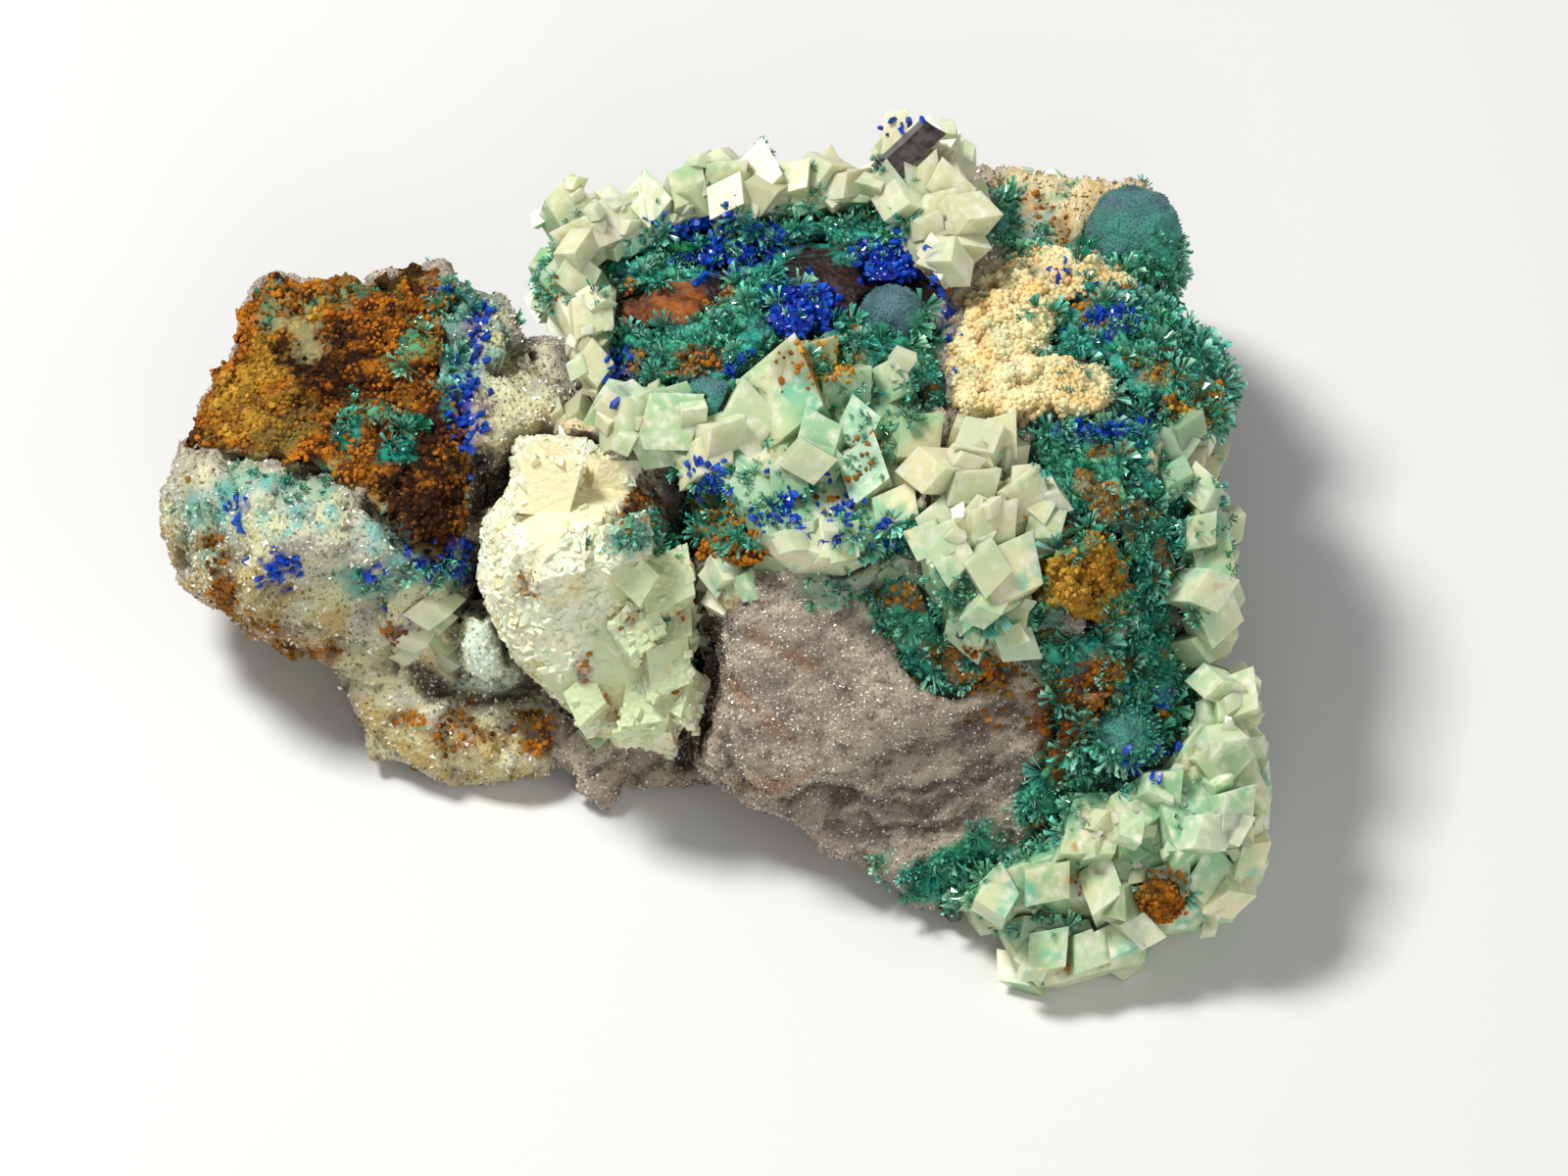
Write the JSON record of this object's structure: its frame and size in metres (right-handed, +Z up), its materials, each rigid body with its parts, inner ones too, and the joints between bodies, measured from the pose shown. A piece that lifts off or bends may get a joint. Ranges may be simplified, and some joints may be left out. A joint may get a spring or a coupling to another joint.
{
  "type": "tyrolite azurite specimen",
  "caption": "Hand specimen of rock crusted with pale rhomb-shaped crystals, blue-green fans, deep blue crystals and orange-brown patches, flat underneath.",
  "frame": {"origin": "on the flat base, under the middle of the specimen's box", "axes": "+X to the right along the display face, +Y towards the back, +Z up from the flat base; the display face leans back and looks towards -Y and up"},
  "size_m": [0.0906, 0.0747, 0.0416],
  "materials": {
    "druse_rock": "rough, covered in sugary crystals",
    "pale_rhombs": "cloudy translucent crystal, pale green",
    "cream_rhombs": "cloudy translucent crystal, cream",
    "smoky_crystal": "dark translucent crystal",
    "cream_crust": "rough cauliflower crust",
    "tyrolite": "pearly fans of small blades, blue-green",
    "azurite": "small glassy deep blue crystals",
    "limonite": "earthy orange-brown crust",
    "ironstone": "dark brown, layered, dull",
    "grey_balls": "velvety grey-blue ball of fine fibres"
  },
  "bodies": {
    "root": {"rhombs_top_ridge": "pale_rhombs", "rhombs_left_shoulder": "pale_rhombs", "smoky_crystal": "smoky_crystal", "rhombs_spire": "cream_rhombs", "rhombs_centre": "pale_rhombs", "rhombs_right": "pale_rhombs", "rhombs_right_edge": "pale_rhombs", "limonite_nest": "limonite", "rhombs_lower_right": "pale_rhombs", "rhombs_tail": "pale_rhombs", "cream_lobe": "cream_rhombs", "grey_ball_top_right": "grey_balls", "grey_ball_centre": "grey_balls", "grey_ball_window_right": "grey_balls", "grey_ball_lower_right": "grey_balls", "azurite_top": "azurite", "azurite_window": "azurite", "azurite_middle": "azurite", "cream_crust": "cream_crust", "limonite_right": "limonite", "limonite_centre": "limonite", "tyrolite_frill": "tyrolite", "tyrolite_sheaf": "tyrolite", "tyrolite_dome": "tyrolite", "tyrolite_flank": "tyrolite", "tyrolite_hollow": "tyrolite", "tyrolite_band": "tyrolite", "ironstone_window": "ironstone", "limonite_left_face": "limonite", "matrix_rock": "druse_rock"}
  },
  "joints": []
}
